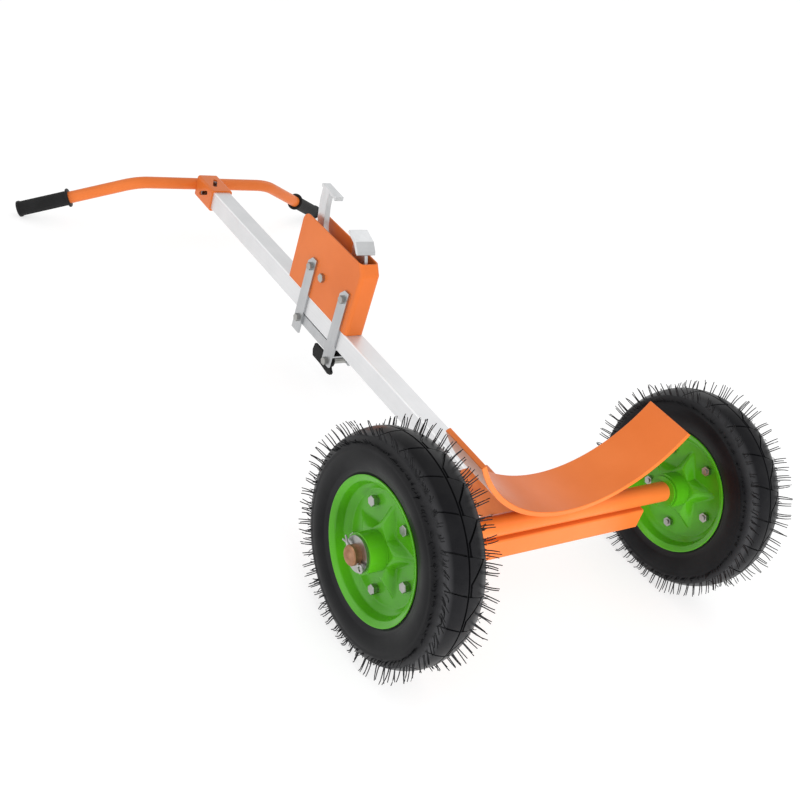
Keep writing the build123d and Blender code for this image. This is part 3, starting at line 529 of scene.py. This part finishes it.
def make_rim(side, half_name, facing):
    """Pressed rim half: a rolled flange, a deep wall and a web with a star."""
    web = [Vector((web_face, hub_radius + row * web_row_step)) for row in range(web_rows)]
    flange = [(flange_face, rim_radius), (flange_back, rim_radius)]
    outline = rounded([web_edge] + rim_dish + flange + rim_seat + [(web_back, hub_radius)], rim_corner)
    # The web's own rows stand in for the outline's points on the web's face.
    low, back = web_edge[1] + web_edge_margin, web_back + web_margin
    section = web + [point for point in outline if point.y >= low or point.x <= back]
    points = []
    for index, place in enumerate(section):
        for column in range(rim_columns):
            star_turn = tau * column / rim_columns
            rise = star_rise(place.y, star_turn) if index < web_rows else 0
            turn = radians(rim_bolt_angle) + pi / rim_points + star_turn
            points.append(on_wheel(side, facing * (place.x + rise), place.y, turn))
    rim = finish_mesh(f"{side}_{half_name}_pressed", points, ring_faces(len(section), rim_columns),
                      f"{side}_wheel", "green_paint", rim_sharp_angle)
    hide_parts(f"{side}_{half_name}")
    return rim


# Grips
def grip_outline():
    """Section of a grip as (way along it, radius): a rounded guard, a body and a rounded, dimpled end."""
    guard = [(0, bar_radius), (0, grip_guard_radius),
             (grip_guard_length, grip_guard_radius), (grip_guard_length, grip_radius)]
    body = [(grip_body_start + row * grip_body_step, grip_radius) for row in range(grip_body_rows)]
    end_start = grip_length - grip_end_length
    end = [(end_start, grip_radius), (end_start, grip_end_radius), (grip_length, grip_end_radius)]
    dimple_floor = grip_length - grip_dimple_depth
    dimple = [(grip_length, grip_dimple_mouth), (dimple_floor, grip_dimple_radius),
              (dimple_floor, grip_pole_radius)]
    end_back = grip_length - grip_end_wall
    back = [(end_back, grip_pole_radius), (end_back, bar_radius)]
    return rounded(guard + body + end + dimple + back, grip_corner)


def make_grip(side):
    """Grip with a fluted body on one end of the handlebar."""
    way = outward[side] * cos(radians(bar_bend))
    way += along * sin(radians(bar_bend)) * cos(radians(bar_droop))
    way -= square * sin(radians(bar_bend)) * sin(radians(bar_droop))
    start = at(bar_place, 0, bar_height) + outward[side] * bar_half_straight + way * grip_start
    across = way.orthogonal().normalized()
    beside = way.cross(across)
    outline = grip_outline()
    columns = grip_flutes * flute_columns
    points = []
    for place in outline:
        fluted = grip_body_start < place.x < flute_end and abs(place.y - grip_radius) < flute_match
        for column in range(columns):
            turn = tau * column / columns
            dip = flute_depth * (1 - cos(turn * grip_flutes)) / 2 if fluted else 0
            points.append(start + way * place.x + (across * cos(turn) + beside * sin(turn)) * (place.y - dip))
    grip = finish_mesh(f"{side}_grip_fluted", points, ring_faces(len(outline), columns),
                       "frame", "grip_rubber", grip_sharp_angle)
    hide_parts(f"{side}_grip")
    return grip


tyres = [make_tyre(side) for side in wheel_middles]
hairs = [make_hairs(side) for side in wheel_middles]
rims = [make_rim(side, "rim_outer_half", 1) for side in wheel_middles]
rims += [make_rim(side, "rim_inner_half", -1) for side in wheel_middles]
grips = [make_grip(side) for side in wheel_middles]


# Materials
def start_material(name):
    """A material with its node tree, its shader and object coordinates."""
    material = bpy.data.materials.new(name)
    material.use_nodes = True
    tree = material.node_tree
    shader = tree.nodes["Principled BSDF"]
    place = tree.nodes.new("ShaderNodeTexCoord").outputs["Object"]
    return material, tree, shader, place


def add_noise(tree, place, scale, detail=3, roughness=0.55):
    """Noise over a place, from 0 to 1."""
    node = tree.nodes.new("ShaderNodeTexNoise")
    node.inputs["Scale"].default_value = scale
    node.inputs["Detail"].default_value = detail
    node.inputs["Roughness"].default_value = roughness
    tree.links.new(place, node.inputs["Vector"])
    return node.outputs["Fac"]


def add_ramp(tree, factor, stops):
    """Colours along a factor, given as (position, colour)."""
    node = tree.nodes.new("ShaderNodeValToRGB")
    elements = node.color_ramp.elements
    while len(elements) < len(stops):
        elements.new(0.5)
    for element, (position, colour) in zip(elements, stops):
        element.position = position
        element.color = (*colour, 1)
    tree.links.new(factor, node.inputs["Fac"])
    return node.outputs["Color"]


def add_range(tree, factor, low, high, most=1):
    """A factor from 0 to its most, mapped to a range."""
    node = tree.nodes.new("ShaderNodeMapRange")
    node.inputs["From Max"].default_value = most
    node.inputs["To Min"].default_value = low
    node.inputs["To Max"].default_value = high
    tree.links.new(factor, node.inputs["Value"])
    return node.outputs["Result"]


def add_math(tree, operation, value, amount=0):
    """A number worked out from another one and an amount."""
    node = tree.nodes.new("ShaderNodeMath")
    node.operation = operation
    node.inputs[1].default_value = amount
    tree.links.new(value, node.inputs[0])
    return node


def add_vector_math(tree, operation, value, amounts):
    """A place worked out from another one and amounts."""
    node = tree.nodes.new("ShaderNodeVectorMath")
    node.operation = operation
    node.inputs[1].default_value = amounts
    tree.links.new(value, node.inputs[0])
    return node.outputs["Vector"]


def add_bump(tree, shader, height, strength, distance, under=None):
    """A bump on the shader's normal, over another bump if there is one."""
    node = tree.nodes.new("ShaderNodeBump")
    node.inputs["Strength"].default_value = strength
    node.inputs["Distance"].default_value = distance
    tree.links.new(height, node.inputs["Height"])
    if under:
        tree.links.new(under, node.inputs["Normal"])
    tree.links.new(node.outputs["Normal"], shader.inputs["Normal"])
    return node.outputs["Normal"]


def stretch(tree, place, turn, scale):
    """Object coordinates turned and stretched."""
    node = tree.nodes.new("ShaderNodeMapping")
    node.inputs["Rotation"].default_value = turn
    node.inputs["Scale"].default_value = scale
    tree.links.new(place, node.inputs["Vector"])
    return node.outputs["Vector"]


def sideways(tree, direction):
    """The part of a direction or place along the axle."""
    node = tree.nodes.new("ShaderNodeSeparateXYZ")
    tree.links.new(direction, node.inputs["Vector"])
    return node.outputs["Y"]


def add_tone(tree, shader, tone):
    """A colour added to the shader's base colour."""
    plain = shader.inputs["Base Color"].links[0].from_socket
    mix = tree.nodes.new("ShaderNodeMix")
    mix.data_type = "RGBA"
    mix.blend_type = "ADD"
    mix.inputs["Factor"].default_value = 1
    tree.links.new(plain, mix.inputs["A"])
    tree.links.new(tone, mix.inputs["B"])
    tree.links.new(mix.outputs["Result"], shader.inputs["Base Color"])


def paint(name, deep, plain, bright, rough, shine, coat):
    """Paint: a slow change of tone, faint orange peel and fine dust in the gloss."""
    material, tree, shader, place = start_material(name)
    stops = [(0.3, deep), (0.5, plain), (0.72, bright)]
    tone = add_ramp(tree, add_noise(tree, place, scale=5, detail=4), stops)
    tree.links.new(tone, shader.inputs["Base Color"])
    gloss = add_range(tree, add_noise(tree, place, scale=60, detail=5, roughness=0.65), *rough)
    tree.links.new(gloss, shader.inputs["Roughness"])
    peel = add_bump(tree, shader, add_noise(tree, place, scale=420, detail=2), strength=0.12, distance=0.0004)
    waves = add_noise(tree, place, scale=45, detail=2)
    add_bump(tree, shader, waves, strength=0.05, distance=0.002, under=peel)
    shader.inputs["Specular IOR Level"].default_value = shine
    shader.inputs["Coat Weight"].default_value = coat
    shader.inputs["Coat Roughness"].default_value = 0.12
    return material


def steel(name, dark, light, rough, streak_scale, turn=(0, 0, 0), bump=0.08, metal=1):
    """Plated steel with drawn or rolled streaks over cloudy tones."""
    material, tree, shader, place = start_material(name)
    shader.inputs["Metallic"].default_value = metal
    streaks = add_noise(tree, stretch(tree, place, turn, streak_scale), scale=1, detail=5, roughness=0.6)
    cloud = add_range(tree, add_noise(tree, place, scale=14), low=0, high=0.55)
    mix = add_math(tree, "MULTIPLY_ADD", streaks, amount=0.45)
    tree.links.new(cloud, mix.inputs[2])
    tone = add_ramp(tree, mix.outputs["Value"], [(0.25, dark), (0.75, light)])
    tree.links.new(tone, shader.inputs["Base Color"])
    tree.links.new(add_range(tree, streaks, *rough), shader.inputs["Roughness"])
    add_bump(tree, shader, streaks, bump, distance=0.0003)
    return material


def tube_steel(name, **values):
    """Drawn square tube: plated steel with a painted highlight, a paler tone on its rounded corners."""
    material = steel(name, **values)
    tree = material.node_tree
    normal = tree.nodes.new("ShaderNodeTexCoord").outputs["Normal"]
    # Painted highlight on the rounded corners, picked out by how far the surface looks sideways
    size = add_math(tree, "ABSOLUTE", sideways(tree, normal))
    add_tone(tree, tree.nodes["Principled BSDF"], add_ramp(tree, size.outputs["Value"], corner_highlight_stops))
    return material


def rubber(name, dark, light, rough, grain, shine):
    """Moulded rubber or plastic: a fine grain and a patchy dull sheen."""
    material, tree, shader, place = start_material(name)
    shader.inputs["Specular IOR Level"].default_value = shine
    patches = add_noise(tree, place, scale=18, detail=5, roughness=0.6)
    tree.links.new(add_ramp(tree, patches, [(0.35, dark), (0.7, light)]), shader.inputs["Base Color"])
    gloss = add_range(tree, add_noise(tree, place, scale=35, detail=4), *rough)
    tree.links.new(gloss, shader.inputs["Roughness"])
    add_bump(tree, shader, add_noise(tree, place, grain), strength=0.15, distance=0.0004)
    return material


def tyre_rubber(name, **values):
    """Tyre rubber: moulded rubber with a painted highlight, a paler tone in a band along each shoulder of a tyre.
    """
    material = rubber(name, **values)
    tree = material.node_tree
    offset = sideways(tree, tree.nodes.new("ShaderNodeTexCoord").outputs["Object"])
    for middle in (0, wheel_middles["left"].y):
        shift = add_math(tree, "SUBTRACT", offset, middle)
        offset = add_math(tree, "ABSOLUTE", shift.outputs["Value"]).outputs["Value"]
    across = add_range(tree, offset, low=0, high=1, most=tyre_half)
    # Painted highlight: the paler shoulder band is added to the rubber's base colour
    add_tone(tree, tree.nodes["Principled BSDF"], add_ramp(tree, across, shoulder_highlight_stops))
    return material


def turned_copper(name, dark, light, rough):
    """Copper-coloured bar with the fine rings of a turned end."""
    material, tree, shader, place = start_material(name)
    shader.inputs["Metallic"].default_value = 1
    from_axle = add_vector_math(tree, "SUBTRACT", place, axle_middle)
    across_axle = add_vector_math(tree, "MULTIPLY", from_axle, (1, 0, 1))
    rings = tree.nodes.new("ShaderNodeTexWave")
    rings.wave_type = "RINGS"
    rings.rings_direction = "SPHERICAL"
    rings.inputs["Scale"].default_value = 260
    rings.inputs["Distortion"].default_value = 1.5
    tree.links.new(across_axle, rings.inputs["Vector"])
    tone = add_ramp(tree, add_noise(tree, place, scale=70, detail=4), [(0.3, dark), (0.7, light)])
    tree.links.new(tone, shader.inputs["Base Color"])
    tree.links.new(add_range(tree, rings.outputs["Fac"], *rough), shader.inputs["Roughness"])
    add_bump(tree, shader, rings.outputs["Fac"], strength=0.2, distance=0.0003)
    return material


finishes = {
    "orange_paint": paint(
        "orange_paint", deep=(0.66, 0.150, 0.026), plain=(0.71, 0.168, 0.033), bright=(0.755, 0.190, 0.042),
        rough=(0.25, 0.37), shine=0.22, coat=0.0),
    "green_paint": paint(
        "green_paint", deep=(0.060, 0.30, 0.006), plain=(0.076, 0.35, 0.009), bright=(0.095, 0.40, 0.013),
        rough=(0.15, 0.27), shine=0.28, coat=0.05),
    "bright_tube": tube_steel(
        "bright_tube", dark=(0.68, 0.69, 0.70), light=(0.78, 0.78, 0.79),
        rough=(0.38, 0.55), streak_scale=(3, 420, 420), turn=tube_turn, metal=0.6),
    "strap_steel": steel(
        "strap_steel", dark=(0.40, 0.41, 0.42), light=(0.56, 0.57, 0.58),
        rough=(0.27, 0.44), streak_scale=(260, 260, 12)),
    "jaw_steel": steel(
        "jaw_steel", dark=(0.60, 0.61, 0.62), light=(0.78, 0.79, 0.80),
        rough=(0.27, 0.44), streak_scale=(70, 70, 70), bump=0.15),
    "zinc_fasteners": steel(
        "zinc_fasteners", dark=(0.30, 0.30, 0.29), light=(0.48, 0.48, 0.46),
        rough=(0.25, 0.42), streak_scale=(180, 60, 180)),
    "bearing_steel": steel(
        "bearing_steel", dark=(0.5, 0.5, 0.5), light=(0.65, 0.65, 0.66),
        rough=(0.13, 0.30), streak_scale=(90, 300, 90)),
    "copper_axle": turned_copper(
        "copper_axle", dark=(0.27, 0.125, 0.065), light=(0.46, 0.25, 0.145), rough=(0.28, 0.45)),
    "tyre_rubber": tyre_rubber(
        "tyre_rubber", dark=(0.004, 0.004, 0.005), light=(0.009, 0.009, 0.010),
        rough=(0.26, 0.42), grain=900, shine=0.12),
    "inner_rubber": rubber(
        "inner_rubber", dark=(0.012, 0.012, 0.012), light=(0.02, 0.02, 0.02),
        rough=(0.6, 0.75), grain=500, shine=0.3),
    "grip_rubber": rubber(
        "grip_rubber", dark=(0.006, 0.006, 0.006), light=(0.012, 0.012, 0.013),
        rough=(0.45, 0.62), grain=1100, shine=0.2),
    "black_plastic": rubber(
        "black_plastic", dark=(0.003, 0.003, 0.003), light=(0.008, 0.008, 0.008),
        rough=(0.40, 0.55), grain=700, shine=0.15),
}
slots = {subpart["node"]: subpart["material_slot"] for subpart in frame["record"]["subparts"]}
for name, node in frame["nodes"].items():
    node.data.materials.clear()
    node.data.materials.append(finishes[slots[name]])
for piece in tyres + hairs + rims + grips:
    piece.data.materials.append(finishes[piece["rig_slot"]])


# Studio
def make_floor():
    """A wide, plain, pale floor."""
    material, tree, shader, place = start_material("pale_floor")
    low, high = ((tone,) * 3 for tone in floor_tones)
    tone = add_ramp(tree, add_noise(tree, place, scale=2), [(0.3, low), (0.7, high)])
    tree.links.new(tone, shader.inputs["Base Color"])
    shader.inputs["Roughness"].default_value = floor_roughness
    shader.inputs["Specular IOR Level"].default_value = floor_shine
    shader.inputs["Emission Color"].default_value = (1, 1, 1, 1)
    shader.inputs["Emission Strength"].default_value = floor_glow
    mesh = bpy.data.meshes.new("floor")
    size = floor_half_size
    corners = [(-size, -size, 0), (size, -size, 0), (size, size, 0), (-size, size, 0)]
    mesh.from_pydata(corners, [], [(0, 1, 2, 3)])
    mesh.materials.append(material)
    floor = bpy.data.objects.new("floor", mesh)
    bpy.context.scene.collection.objects.link(floor)


def make_sky():
    """An even, white sky."""
    world = bpy.data.worlds.new("soft_sky")
    world.use_nodes = True
    sky = world.node_tree.nodes["Background"]
    sky.inputs["Color"].default_value = (1, 1, 1, 1)
    sky.inputs["Strength"].default_value = sky_strength
    bpy.context.scene.world = world


def add_light(name, place, aim, size, power, in_gloss):
    """A square soft light that faces a place."""
    light = bpy.data.lights.new(name, "AREA")
    light.shape = "SQUARE"
    light.size = size
    light.energy = power
    lamp = bpy.data.objects.new(name, light)
    lamp.location = place
    lamp.rotation_euler = (aim - place).to_track_quat("-Z", "Y").to_euler()
    lamp.visible_glossy = in_gloss
    bpy.context.scene.collection.objects.link(lamp)


def make_camera():
    """The camera at the photograph's viewing angle."""
    view = bpy.data.cameras.new("camera")
    view.lens = camera_lens
    view.sensor_width = camera_sensor
    view.clip_end = camera_reach
    camera = bpy.data.objects.new("camera", view)
    x_axis, y_axis = on_axes(camera_right), on_axes(camera_up)
    turn = Matrix((x_axis, y_axis, x_axis.cross(y_axis))).transposed()
    camera.matrix_world = Matrix.Translation(axle_middle + on_axes(camera_place)) @ turn.to_4x4()
    bpy.context.scene.collection.objects.link(camera)
    bpy.context.scene.camera = camera


make_floor()
make_sky()
aim = at(lights_aim)
for name, (away, size, power, in_gloss) in studio_lights.items():
    add_light(name, aim + Vector(away), aim, size, power, in_gloss)
make_camera()
bpy.context.scene.view_settings.view_transform = "Standard"
